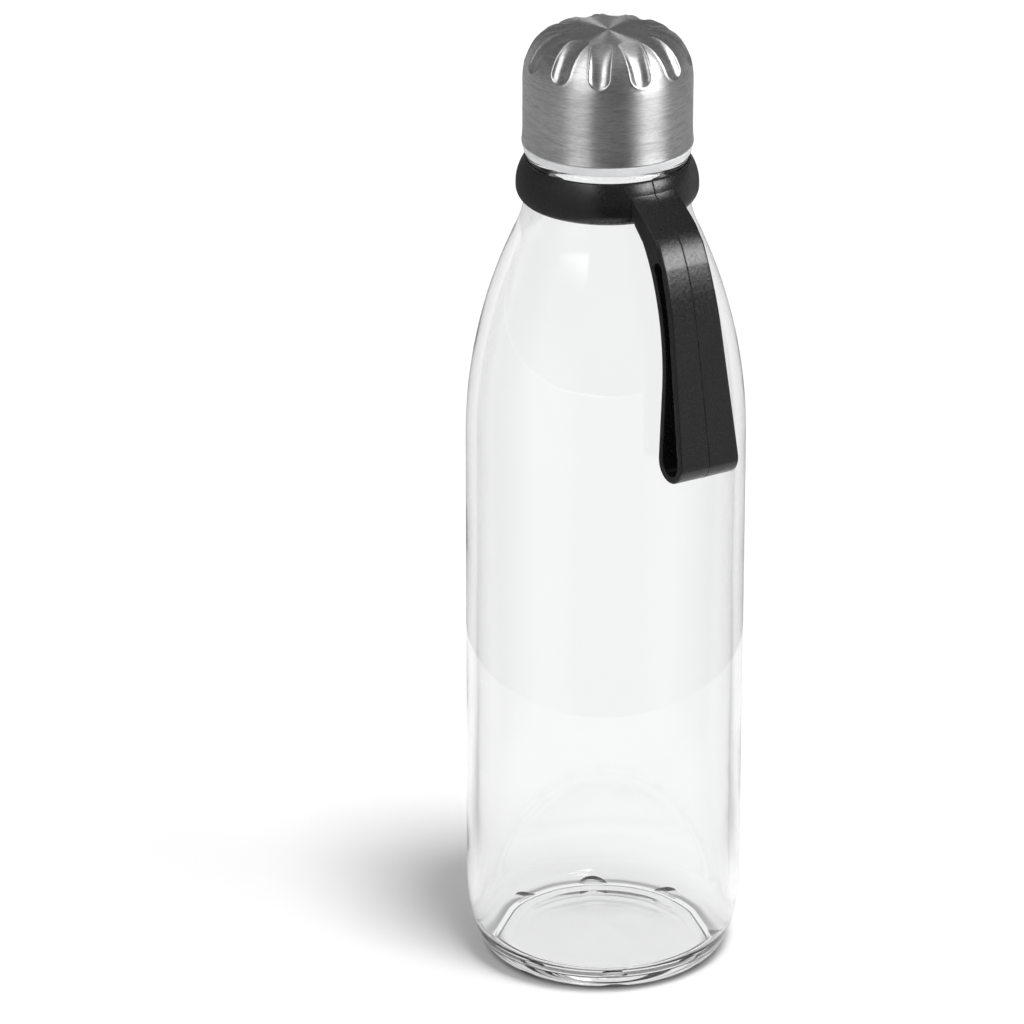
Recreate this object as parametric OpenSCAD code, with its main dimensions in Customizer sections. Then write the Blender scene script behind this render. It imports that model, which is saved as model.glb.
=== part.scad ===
// Glass drinking bottle: clear bottle, domed metal screw cap with a plastic liner and gasket,
// and a soft neck ring carrying a closed finger loop.
// Units are millimetres, +Z is up, the origin is on the bottle's axis at the plane it stands on,
// and the finger loop hangs on the -Y side.

/* [Bottle] */
// Outside diameter of the straight body
body_d = 70; // [68:0.5:72]
// Height where the straight body turns into the shoulder
body_top_z = 140; // [138:1:142]
// Radius of the long shoulder curve
shoulder_r = 130; // [129:0.5:131]
// Glass thickness of body and shoulder
glass_wall = 3; // [2.6:0.1:3.4]
// Radius of the ring the bottle stands on
foot_r = 28.2; // [27:0.2:29]
// Height of the rounded heel
heel_h = 20.5; // [18:0.5:22]
// Rise of the hollow under the base
punt_rise = 1.8; // [1.4:0.2:2.4]
// Height of the inside floor at the axis
floor_z = 4.3; // [4.3:0.1:6]
// Number of shallow moulded notches under the foot's outer edge
scallops = 8; // [4:1:10]
// Turn of the first notch from the +X side, in degrees
scallop_turn = 19; // [0:1:45]

/* [Neck] */
// Radius of the neck where the shoulder ends
neck_r = 20.3;
// Hollow curve radius from shoulder to neck
neck_fillet = 25;
// Height of the ledge the carry ring sits on
ledge_z = 206;
// Radius of the land inside the carry ring
land_r = 19.3; // [19:0.1:19.4]
// Underside height of the glass bead above the ring
bead_z = 211.7;
// Top of the glass bead
bead_top_z = 215.2;
// Radius of the glass bead
bead_r = 19.95;
// Root radius of the screw finish
finish_r = 17.5; // [17.3:0.1:17.6]
// Inside radius of the mouth
mouth_r = 15; // [13:0.5:15]
// Height of the lip
lip_z = 233;

/* [Screw thread] */
// Rise of the thread in one turn
lead = 4.2; // [4:0.1:4.4]
// Turns of thread on the glass
glass_turns = 1.5; // [1.25:0.25:1.75]
// Turns of thread in the liner
liner_turns = 1.25; // [1:0.25:1.5]
// Height of the thread on either part
thread_h = 1.2; // [1:0.1:1.2]
// Straight segments in one turn of thread
thread_steps = 36; // [24:6:48]

/* [Cap] */
// Outside radius of the metal cap
cap_r = 20.9;
// Sheet thickness of the metal cap
cap_wall = 0.5; // [0.4:0.1:0.6]
// Height of the metal cap's open rim
cap_rim_z = 217.9;
// Height where the side turns into the dome
dome_z = 234.2;
// Height of the dome over the side
dome_h = 11.75;
// Width of the dome's rounding
dome_w = 9.4;
// Rise of the crown above the dome's rounding
crown_rise = 0.25; // [0.1:0.05:0.4]
// Number of pressed flutes round the dome
flutes = 12; // [10:1:12]
// Width of one flute
flute_w = 5.2; // [4.4:0.2:5.2]
// Depth of one flute
flute_depth = 1; // [0.8:0.1:1.1]
// Turn of the first flute from the -Y side, in degrees
flute_turn = 22; // [0:1:30]

/* [Carry ring and loop] */
// Bore radius of the ring
ring_bore_r = 19.35; // [19.35:0.01:19.4]
// Outside radius of the ring
ring_r = 22.6;
// Height of the ring's top edge
ring_top_z = 213.6;
// Height of the ring's underside
ring_bottom_z = 203.2;
// Radius of the loop's knuckle at the ring
knuckle_r = 2.6;
// Thickness of the loop's band
band_t = 1.8; // [1.6:0.1:2]
// Width of the loop at its bottom end
loop_w_bottom = 17; // [15:0.2:17.6]
// Width of the loop at the ring
loop_w_top = 12; // [11:0.2:12.6]

/* [Output] */
// Which sub-part to draw

/* [Hidden] */
$fn = 96;
eps = 0.01;
far = 100;

// Bottle
body_r = body_d / 2;
shoulder_c = body_r - shoulder_r;
shoulder_end = atan2(neck_fillet_z(neck_r, neck_fillet, shoulder_r) - body_top_z,
                     neck_r + neck_fillet - shoulder_c);
inner_r = shoulder_r - glass_wall;
mouth_fillet = 30;
mouth_fillet_top = neck_fillet_z(mouth_r, mouth_fillet, inner_r);
inner_end = atan2(mouth_fillet_top - body_top_z, mouth_r + mouth_fillet - shoulder_c);
cavity_corner = 6;
cavity_dish = 0.8;
punt_r = 24.5;
lip_round = 1.1;
bead_round = 1.1;
scallop_r = 5;
scallop_deep = 0.9;
scallop_from = 26.2;

// Thread
thread_root_w = 2.8;
thread_crest_w = 1.4;
thread_sink = 0.3;
fade_steps = 3;
glass_thread_z = 220.6;
liner_thread_z = glass_thread_z + lead / 2;

// Liner and gasket
liner_r = cap_r - cap_wall - 0.05;
liner_bore = 18.95;
flange_z = 215.4;
flange_r = 21.1;
flange_low_r = 20.5;
plate_z = 234.9;
plate_top = 236.5;
plate_chamfer = 1;
seal_gap = 0.15;
seal_r = 18.7;
seal_lip = 1.6;

// Cap
rim_flare = 0.25;
rim_flare_h = 1.2;
dome_in_r = cap_r - dome_w;
flute_top = [16.89, 243.78];
flute_lean = 50;
flute_arc_r = 18;
flute_span = 30;
flute_tool_r = (pow(flute_w / 2, 2) + pow(flute_depth, 2)) / (2 * flute_depth);
flute_tool_c = flute_arc_r + flute_tool_r - flute_depth;
flute_arc_c = flute_top - flute_arc_r * [cos(flute_lean), sin(flute_lean)];

// Ring and loop
ring_edge = 0.4;
ring_crown_z = 206.9;
ring_skirt_r = 20.75;
ring_gap = 0.1;
ring_foot_w = 3.05;
ring_foot_h = 3.75;
ring_foot_z = 206.55;
crown_in = ring_r - bead_r - ring_gap - ring_edge;
crown_arc = (pow(crown_in, 2) + pow(ring_top_z - ring_crown_z, 2)) / (2 * crown_in);
root_top_z = 207.2;
root_low_z = 202.6;
root_flare = 1.4;
knuckle = [25.2, 204.4];
knuckle_gap = 0.1;
knuckle_up = 52;
knuckle_down = -128;
socket_from = 164;
socket_to = 230;
bend_c = [42.85, 149];
bend_r = 5.25;
band_tilt = 11.4;
straight_len = 30.5;
slow_r = 80;
slow_end = 24;
fast_r = 14;
fast_end = 52;
inner_turn_z = 166;
inner_arc_r = 58.4;
inner_end_a = 35.6;
hollow_end = 30;
taper_low_z = 146;
taper_top_z = 206;

function neck_fillet_z(r, fillet, arc) =
    body_top_z + sqrt(pow(arc + fillet, 2) - pow(r + fillet - shoulder_c, 2));

function arc(c, r, from, to, n) =
    [for (i = [0:n]) c + r * [cos(from + (to - from) * i / n), sin(from + (to - from) * i / n)]];

function oval(c, a, b, from, to, n) =
    [for (i = [0:n]) let (t = from + (to - from) * i / n) c + [a * cos(t), b * sin(t)]];

function at(c, r, angle) = c + r * [cos(angle), sin(angle)];

// One turn-by-turn screw ridge; side is 1 for an outside thread and -1 for an inside one.
module thread(root_r, side, turns, z) {
    n = round(turns * thread_steps);
    sections = [for (i = [0:n])
        let (grow = min(1, min(i, n - i) / fade_steps),
             low = root_r - side * thread_sink,
             high = root_r + side * max(thread_h * grow, 0.05),
             a = 360 * i / thread_steps,
             m = z + lead * i / thread_steps)
        [for (p = [[low, -thread_root_w], [high, -thread_crest_w],
                   [high, thread_crest_w], [low, thread_root_w]])
            [p[0] * cos(a), p[0] * sin(a), m + p[1] / 2]]];
    points = [for (s = sections) for (p = s) p];
    sides = [for (i = [0:n - 1]) for (k = [0:3])
        let (a = 4 * i + k, b = 4 * i + (k + 1) % 4)
        for (t = [[a, a + 4, b + 4], [a, b + 4, b]]) side < 0 ? t : [t[2], t[1], t[0]]];
    first = [[0, 1, 2], [0, 2, 3]];
    last = [for (t = first) [4 * n + t[2], 4 * n + t[1], 4 * n + t[0]]];
    ends = concat(first, last);
    polyhedron(points, concat(sides, [for (t = ends) side < 0 ? t : [t[2], t[1], t[0]]]));
}

module outside_profile() {
    polygon(concat(
        [[0, 0], [foot_r, 0]],
        oval([foot_r, heel_h], body_r - foot_r, heel_h, -90, 0, 14),
        arc([shoulder_c, body_top_z], shoulder_r, 0, shoulder_end, 24),
        arc([neck_r + neck_fillet, neck_fillet_z(neck_r, neck_fillet, shoulder_r)],
            neck_fillet, 180 + shoulder_end, 180, 8),
        [[neck_r, ledge_z], [land_r, ledge_z], [land_r, bead_z],
         [bead_r, bead_z]],
        arc([bead_r - bead_round, bead_top_z - bead_round], bead_round, 0, 90, 6),
        [[finish_r, bead_top_z]],
        arc([finish_r - lip_round, lip_z - lip_round], lip_round, 0, 90, 6),
        arc([mouth_r + lip_round, lip_z - lip_round], lip_round, 90, 180, 6),
        [[mouth_r, lip_z - lip_round - 1], [0, lip_z - lip_round - 1]]
    ));
}

module inside_profile() {
    floor_edge = body_r - glass_wall - cavity_corner;
    polygon(concat(
        [[0, floor_z]],
        [[floor_edge, floor_z - cavity_dish]],
        arc([floor_edge, floor_z - cavity_dish + cavity_corner], cavity_corner, -90, 0, 8),
        arc([shoulder_c, body_top_z], inner_r, 0, inner_end, 24),
        arc([mouth_r + mouth_fillet, mouth_fillet_top], mouth_fillet, 180 + inner_end, 180, 8),
        [[mouth_r, lip_z + 1], [0, lip_z + 1]]
    ));
}

module glass_bottle() {
    punt_ball = (pow(punt_r, 2) + pow(punt_rise, 2)) / (2 * punt_rise);
    color([0.86, 0.9, 0.92, 0.35])
    difference() {
        union() {
            rotate_extrude()
            outside_profile();
            thread(finish_r, 1, glass_turns, glass_thread_z);
        }
        rotate_extrude()
        inside_profile();
        translate([0, 0, punt_rise - punt_ball])
        sphere(r = punt_ball);
        for (i = [0:scallops - 1])
            rotate(scallop_turn + 360 * i / scallops)
            translate([scallop_from, 0, scallop_deep - scallop_r])
            rotate([0, 90, 0])
            cylinder(r = scallop_r, h = body_r);
    }
}

module dome(inset) {
    z = cap_rim_z - (inset > 0 ? 1 : 0);
    rotate_extrude()
    polygon(concat(
        [[0, z], [cap_r - inset, z]],
        oval([dome_in_r, dome_z], dome_w - inset, dome_h - inset, 0, 90, 16),
        [[0, dome_z + dome_h + crown_rise - inset]]
    ));
}

module flute_tools(r) {
    for (i = [0:flutes - 1])
        rotate(flute_turn - 90 + 360 * i / flutes)
        translate([flute_arc_c[0], 0, flute_arc_c[1]])
        rotate([90, 0, 0])
        rotate([0, 0, flute_lean - flute_span])
        rotate_extrude(angle = 2 * flute_span)
        translate([flute_tool_c, 0])
        circle(r = r);
}

module cap_shell() {
    color([0.72, 0.72, 0.73])
    difference() {
        union() {
            dome(0);
            translate([0, 0, cap_rim_z])
            cylinder(r1 = cap_r + rim_flare, r2 = cap_r, h = rim_flare_h);
        }
        flute_tools(flute_tool_r);
        difference() {
            dome(cap_wall);
            flute_tools(flute_tool_r + cap_wall);
        }
    }
}

module cap_insert() {
    color([0.85, 0.86, 0.87])
    union() {
        difference() {
            rotate_extrude()
            polygon([
                [0, flange_z], [flange_low_r, flange_z], [flange_r, cap_rim_z - 0.05],
                [liner_r, cap_rim_z - 0.05], [liner_r, plate_top - plate_chamfer],
                [liner_r - plate_chamfer, plate_top], [0, plate_top]
            ]);
            translate([0, 0, flange_z - 1])
            cylinder(r = liner_bore, h = plate_z - flange_z + 1);
        }
        thread(liner_bore, -1, liner_turns, liner_thread_z);
    }
}

module cap_seal() {
    color([0.92, 0.92, 0.9])
    translate([0, 0, lip_z + seal_gap])
    difference() {
        cylinder(r = seal_r, h = plate_z - lip_z - 2 * seal_gap);
        translate([0, 0, -eps])
        cylinder(r = mouth_r - seal_lip, h = 0.6);
    }
}

// Draws a side view, given as distance from the axis and height, as a slab across the -Y side.
module side_slab(width) {
    translate([width / 2, 0, 0])
    rotate([90, 0, -90])
    linear_extrude(height = width)
    children();
}

module carry_ring() {
    color([0.06, 0.06, 0.065])
    difference() {
        union() {
            rotate_extrude()
            polygon(concat(
                [[ring_skirt_r, ring_bottom_z]],
                oval([ring_r - ring_foot_w, ring_foot_z], ring_foot_w, ring_foot_h, -62, 0, 8),
                arc([ring_r - crown_arc, ring_crown_z], crown_arc, 0,
                    asin((ring_top_z - ring_crown_z) / crown_arc), 10),
                [[bead_r + ring_gap, ring_top_z], [bead_r + ring_gap, bead_z - ring_gap],
                 [ring_bore_r, bead_z - ring_gap], [ring_bore_r, ledge_z + ring_gap],
                 [ring_skirt_r, ledge_z + ring_gap]]
            ));
            side_slab(loop_w_top + root_flare)
            polygon([
                [ring_r - 1.2, root_top_z],
                [at(knuckle, knuckle_r, socket_from)[0] + 0.3, root_top_z],
                at(knuckle, knuckle_r, socket_from), knuckle,
                at(knuckle, knuckle_r, socket_to), [ring_r - 1, root_low_z]
            ]);
        }
        translate([-far / 2, -knuckle[0], knuckle[1]])
        rotate([0, 90, 0])
        cylinder(r = knuckle_r + knuckle_gap, h = far);
    }
}

module loop_side() {
    p0 = at(bend_c, bend_r, band_tilt);
    p1 = p0 + straight_len * [-sin(band_tilt), cos(band_tilt)];
    slow_c = p1 - slow_r * [cos(band_tilt), sin(band_tilt)];
    p2 = at(slow_c, slow_r, slow_end);
    fast_c = p2 - fast_r * [cos(slow_end), sin(slow_end)];
    inner_c = [bend_c[0] - bend_r - inner_arc_r, inner_turn_z];
    difference() {
        union() {
            polygon(concat(
                arc(bend_c, bend_r, -180, band_tilt, 24),
                arc(slow_c, slow_r, band_tilt, slow_end, 8),
                arc(fast_c, fast_r, slow_end, fast_end, 6),
                [at(knuckle, knuckle_r, knuckle_up), knuckle, at(knuckle, knuckle_r, knuckle_down)],
                arc(inner_c, inner_arc_r, inner_end_a, 0, 12)
            ));
            translate(knuckle)
            circle(r = knuckle_r);
        }
        polygon(concat(
            arc(bend_c, bend_r - band_t, -180, band_tilt, 24),
            arc(slow_c, slow_r - band_t, band_tilt, slow_end, 8),
            arc(inner_c, inner_arc_r + band_t, hollow_end, 0, 12)
        ));
    }
}

module carry_loop() {
    color([0.06, 0.06, 0.065])
    intersection() {
        side_slab(far)
        loop_side();
        rotate([90, 0, 0])
        linear_extrude(height = far)
        polygon([
            [-loop_w_bottom / 2 - 0.5, 134], [loop_w_bottom / 2 + 0.5, 134],
            [loop_w_bottom / 2, taper_low_z], [loop_w_top / 2, taper_top_z],
            [loop_w_top / 2, 215], [-loop_w_top / 2, 215],
            [-loop_w_top / 2, taper_top_z], [-loop_w_bottom / 2, taper_low_z]
        ]);
    }
}

glass_bottle();
cap_shell();
cap_insert();
cap_seal();
carry_ring();
carry_loop();
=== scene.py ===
import math

import bmesh
import bpy
import numpy as np
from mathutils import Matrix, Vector


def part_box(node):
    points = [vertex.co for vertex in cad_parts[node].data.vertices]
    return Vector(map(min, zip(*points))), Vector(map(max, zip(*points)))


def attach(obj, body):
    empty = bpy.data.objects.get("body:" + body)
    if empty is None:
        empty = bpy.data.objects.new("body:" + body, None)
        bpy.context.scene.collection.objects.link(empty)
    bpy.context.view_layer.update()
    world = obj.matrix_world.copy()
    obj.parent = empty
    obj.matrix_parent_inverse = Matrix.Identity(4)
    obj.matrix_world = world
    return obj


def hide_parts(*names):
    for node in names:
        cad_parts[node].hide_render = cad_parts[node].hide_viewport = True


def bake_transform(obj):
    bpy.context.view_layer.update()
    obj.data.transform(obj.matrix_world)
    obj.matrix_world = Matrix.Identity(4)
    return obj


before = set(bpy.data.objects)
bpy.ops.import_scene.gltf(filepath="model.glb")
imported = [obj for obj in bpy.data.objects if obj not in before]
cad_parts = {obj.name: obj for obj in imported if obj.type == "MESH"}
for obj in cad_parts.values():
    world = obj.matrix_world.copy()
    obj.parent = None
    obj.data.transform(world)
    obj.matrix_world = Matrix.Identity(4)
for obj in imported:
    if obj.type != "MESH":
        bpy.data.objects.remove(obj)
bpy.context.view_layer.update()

MM = 0.001
glass_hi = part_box("glass_bottle")[1]
shell_lo, shell_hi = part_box("cap_shell")
liner_lo, liner_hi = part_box("cap_insert")
seal_lo, seal_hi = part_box("cap_seal")
ring_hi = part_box("carry_ring")[1]

# Outlines are in millimetres and angles in degrees. The stage and camera are in metres.
BODY_R = glass_hi.x / MM
LIP_Z = glass_hi.z / MM
APEX_Z = shell_hi.z / MM
RIM_Z = shell_lo.z / MM
PHOTO_AZ = -31.0
PHOTO_EL = 23.0


# ---------------------------------------------------------------- mesh helpers
def arc(c, r, a0, a1, n):
    a = np.radians(np.linspace(a0, a1, n))
    return np.c_[c[0] + r * np.cos(a), c[1] + r * np.sin(a)]


def oval(c, a, b, t0, t1, n):
    t = np.radians(np.linspace(t0, t1, n))
    return np.c_[c[0] + a * np.cos(t), c[1] + b * np.sin(t)]


def line(p, q, n):
    t = np.linspace(0, 1, n)[:, None]
    return np.array(p, float) * (1 - t) + np.array(q, float) * t


def at_angle(c, r, a):
    """The point at angle a on a circle."""
    a = math.radians(a)
    return np.array([c[0] + r * math.cos(a), c[1] + r * math.sin(a)])


def path(*parts):
    """Joins stretches into one outline and drops doubled points."""
    pts = np.vstack(parts)
    keep = np.r_[True, np.linalg.norm(np.diff(pts, axis=0), axis=1) > 1e-4]
    return pts[keep]


def arc_length(pts):
    return np.r_[0, np.cumsum(np.linalg.norm(np.diff(pts, axis=0), axis=1))]


def normals_2d(pts):
    """Unit normals to the right of the direction of travel."""
    d = np.gradient(pts, axis=0)
    d /= np.linalg.norm(d, axis=1)[:, None] + 1e-12
    return np.c_[d[:, 1], -d[:, 0]]


def make_object(name, verts_mm, faces):
    me = bpy.data.meshes.new(name)
    me.from_pydata([tuple(v) for v in np.asarray(verts_mm) * MM], [], faces)
    me.validate()
    bm = bmesh.new()
    bm.from_mesh(me)
    bmesh.ops.recalc_face_normals(bm, faces=bm.faces)
    bm.to_mesh(me)
    bm.free()
    me.polygons.foreach_set("use_smooth", [True] * len(me.polygons))
    me.update()
    ob = bpy.data.objects.new(name, me)
    bpy.context.scene.collection.objects.link(ob)
    return ob


def grid_faces(rows, cols, wrap_rows=False, wrap_cols=True):
    faces = []
    for i in range(rows if wrap_rows else rows - 1):
        i1 = (i + 1) % rows
        for j in range(cols if wrap_cols else cols - 1):
            j1 = (j + 1) % cols
            faces.append((i * cols + j, i * cols + j1, i1 * cols + j1, i1 * cols + j))
    return faces


def lathe(name, pts, phi, shape=None, pole_start=False, pole_end=False, closed=False):
    """Turns a section of (r, z) points about Z. shape(i, r, z, phi) may move each ring's points."""
    rows, cols = len(pts), len(phi)
    verts = []
    for i, (r, z) in enumerate(pts):
        rr, zz = np.full(cols, r), np.full(cols, z)
        if shape:
            rr, zz = shape(i, rr, zz, phi)
        verts.append(np.c_[rr * np.cos(phi), rr * np.sin(phi), zz])
    verts = np.vstack(verts)
    faces = grid_faces(rows, cols, wrap_rows=closed)
    extra = []
    if pole_start:
        k = len(verts)
        extra.append([0, 0, pole_start])
        faces += [(k, (j + 1) % cols, j) for j in range(cols)]
    if pole_end:
        k = len(verts) + len(extra)
        base = (rows - 1) * cols
        extra.append([0, 0, pole_end])
        faces += [(k, base + j, base + (j + 1) % cols) for j in range(cols)]
    if extra:
        verts = np.vstack([verts, extra])
    return make_object(name, verts, faces)


def even(n, start=0.0):
    return start + np.arange(n) * 2 * math.pi / n


def smoothstep(x):
    x = np.clip(x, 0, 1)
    return x * x * (3 - 2 * x)


def waves(phi, z, seed, count=5, lo=1, hi=4, zlen=60.0):
    """A smooth seeded wobble over angle and height, about -1 to 1."""
    rng = np.random.default_rng(seed)
    out = np.zeros(np.broadcast(phi, z).shape)
    for _ in range(count):
        k = rng.integers(lo, hi + 1)
        out = out + np.sin(k * phi + rng.uniform(0, 6.28)) * np.cos(
            z / zlen * rng.uniform(0.6, 1.6) * 6.28 + rng.uniform(0, 6.28)
        )
    return out / count


# ---------------------------------------------------------------- glass bottle
FOOT_R = 28.2
HEEL_H = 20.5
PUNT_R = 24.5
PUNT_RISE = 1.8
SHOULDER_Z = 140.0
SHOULDER_R = 130.0
WALL = 3.0
NECK_R = 20.3
NECK_FILLET = 25.0
LEDGE_Z = 206.0
LAND_R = 19.3
BEAD_Z = 211.7
BEAD_TOP = 215.2
BEAD_R = 19.95
FINISH_R = 17.5
MOUTH_R = 15.0
FLOOR_Z = 4.3
DISH = 0.8
CORNER = 6.0
LIP = 1.1
SCALLOPS = 8
SCALLOP_TURN = 19.0
SCALLOP_FROM = 26.2
SCALLOP_DEEP = 1.6
SCALLOP_R = 5.0
SCALLOP_HALF = 4.2
SCALLOP_TOP = 2.2
INNER_FILLET = 30.0
LEAD = 4.2
THREAD_Z = 220.6
THREAD_H = 1.2
GLASS_TURNS = 1.5
LINER_TURNS = 1.25


def fillet_top(r, fillet, big):
    c = BODY_R - SHOULDER_R
    return SHOULDER_Z + math.sqrt((big + fillet) ** 2 - (r + fillet - c) ** 2)


def ridge(x, root, crest):
    """Height 0 to 1 of a rounded screw ridge at distance x from its middle line."""
    return smoothstep((root / 2 - np.abs(x)) / ((root - crest) / 2))


def helix_height(phi, z, z0, turns, root=2.8, crest=1.2):
    """Share of the ridge's full height at (phi, z) for a single-start right-hand thread."""
    out = np.zeros_like(z)
    for k in range(0, int(math.ceil(turns)) + 1):
        turn = np.mod(phi, 2 * math.pi) / (2 * math.pi) + k
        ends = smoothstep(turn / 0.09) * smoothstep((turns - turn) / 0.09)
        out = np.maximum(out, ends * ridge(z - (z0 + LEAD * turn), root, crest))
    return out


def build_glass():
    c = (BODY_R - SHOULDER_R, SHOULDER_Z)
    top = fillet_top(NECK_R, NECK_FILLET, SHOULDER_R)
    turn = math.degrees(math.atan2(top - SHOULDER_Z, NECK_R + NECK_FILLET - c[0]))
    punt_ball = (PUNT_R**2 + PUNT_RISE**2) / (2 * PUNT_RISE)
    punt_a = math.degrees(math.asin(PUNT_R / punt_ball))
    under = arc((0, PUNT_RISE - punt_ball), punt_ball, 89.6, 90 - punt_a + 0.6, 26)
    outer = path(
        under,
        arc((PUNT_R + 0.9, 0.7), 0.7, 190, 270, 7),
        line((PUNT_R + 1.2, 0), (FOOT_R - 0.2, 0), 12),
        oval((FOOT_R, HEEL_H), BODY_R - FOOT_R, HEEL_H, -90, 0, 48),
        line((BODY_R, HEEL_H), (BODY_R, SHOULDER_Z), 30),
        arc(c, SHOULDER_R, 0, turn, 60),
        arc((NECK_R + NECK_FILLET, top), NECK_FILLET, 180 + turn, 180, 16),
        line((NECK_R, top), (NECK_R, LEDGE_Z - 0.3), 3),
        arc((NECK_R - 0.3, LEDGE_Z - 0.3), 0.3, 0, 90, 4),
        arc((LAND_R + 0.3, LEDGE_Z + 0.3), 0.3, 270, 180, 4),
        line((LAND_R, LEDGE_Z + 0.3), (LAND_R, BEAD_Z - 0.4), 4),
        arc((LAND_R + 0.4, BEAD_Z - 0.4), 0.4, 180, 90, 4),
        arc((BEAD_R - 0.25, BEAD_Z + 0.25), 0.25, 270, 360, 4),
        arc((BEAD_R - 1.4, BEAD_TOP - 1.4), 1.4, 0, 80, 9),
        arc((FINISH_R + 0.5, BEAD_TOP + 0.45), 0.5, 265, 180, 6),
    )
    thread_from = len(outer)
    finish = line((FINISH_R, BEAD_TOP + 1.0), (FINISH_R, LIP_Z - 1.6), 66)
    thread_to = thread_from + len(finish)
    lip = path(
        arc((FINISH_R - LIP, LIP_Z - LIP), LIP, 0, 90, 8),
        arc((MOUTH_R + LIP, LIP_Z - LIP), LIP, 90, 180, 8),
    )
    inner_r = SHOULDER_R - WALL
    itop = fillet_top(MOUTH_R, INNER_FILLET, inner_r)
    iturn = math.degrees(math.atan2(itop - SHOULDER_Z, MOUTH_R + INNER_FILLET - c[0]))
    edge = BODY_R - WALL - CORNER
    low = FLOOR_Z - DISH
    inner = path(
        line((MOUTH_R, LIP_Z - 1.4), (MOUTH_R, itop), 12),
        arc((MOUTH_R + INNER_FILLET, itop), INNER_FILLET, 180, 180 + iturn, 20),
        arc(c, inner_r, iturn, 0, 60),
        line((BODY_R - WALL, SHOULDER_Z), (BODY_R - WALL, low + CORNER), 60),
        arc((edge, low + CORNER), CORNER, 0, -90, 26),
        oval((0, low), edge, DISH, 0, 89, 22),
    )
    pts = np.vstack([outer, finish, lip[1:], inner[1:]])
    n_outer, n_before_inner = len(outer), thread_to + len(lip) - 1

    def shape(i, r, z, phi):
        if thread_from <= i < thread_to:
            r = r + THREAD_H * helix_height(phi, z, THREAD_Z, GLASS_TURNS)
        if i < n_outer and z[0] < SCALLOP_TOP and r[0] > SCALLOP_FROM:
            for k in range(SCALLOPS):
                a = math.radians(SCALLOP_TURN) + k * 2 * math.pi / SCALLOPS
                t = r * np.sin(phi - a)
                near = np.cos(phi - a) > 0.5
                cut = SCALLOP_DEEP - SCALLOP_R + np.sqrt(np.clip(SCALLOP_R**2 - t * t, 0, None))
                cut = np.where(near & (np.abs(t) < SCALLOP_HALF), cut, -1)
                z = np.where(cut > z, cut, z)
        if i >= n_before_inner and z[0] < 205:
            fade = smoothstep((205 - z) / 25) * smoothstep(r[0] / 20)
            heel = smoothstep((34 - z) / 22) * smoothstep((z - 9) / 6)
            r = r - 0.12 * fade * waves(phi, z, 11) - 0.2 * heel * waves(phi, z, 23, 6, 2, 7, 24)
            if z[0] < low + CORNER:
                z = z + 0.2 * waves(phi, r, 5, zlen=40) * smoothstep(r[0] / 8)
        return r, z

    return lathe("bottle_glass", pts, even(384), shape, pole_start=PUNT_RISE, pole_end=FLOOR_Z)


# ---------------------------------------------------------------- steel cap
CAP_R = 20.9
DOME_Z = 234.2
DOME_H = 11.75
DOME_W = 9.4
FLUTES = 12
FLUTE_W = 5.2
FLUTE_DEEP = 0.85
FLUTE_TURN = 22.0
FLUTE_LOW_Z = 237.7
FLUTE_TOP_R = 10.3
RIM_FLARE = 0.25
SHEET = 0.5


def cap_profile():
    down, up = np.linspace(1, 0, 14), np.linspace(0, 1, 14)
    wall = path(
        arc((CAP_R + RIM_FLARE - 0.2, RIM_Z + 0.2), 0.2, -60, 10, 5),
        np.c_[CAP_R + (RIM_FLARE - 0.02) * down**2, RIM_Z + 0.3 + 3.6 * up],
        line((CAP_R, RIM_Z + 4.2), (CAP_R, DOME_Z), 24),
    )
    dome = oval((CAP_R - DOME_W, DOME_Z), DOME_W, DOME_H, 0, 90, 80)
    rest = CAP_R - DOME_W
    u = np.linspace(1, 0.02, 26)[1:]
    crown = np.c_[u * rest, DOME_Z + DOME_H + (APEX_Z - DOME_Z - DOME_H) * (1 - u**1.6)]
    return path(wall, dome, crown)


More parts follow.
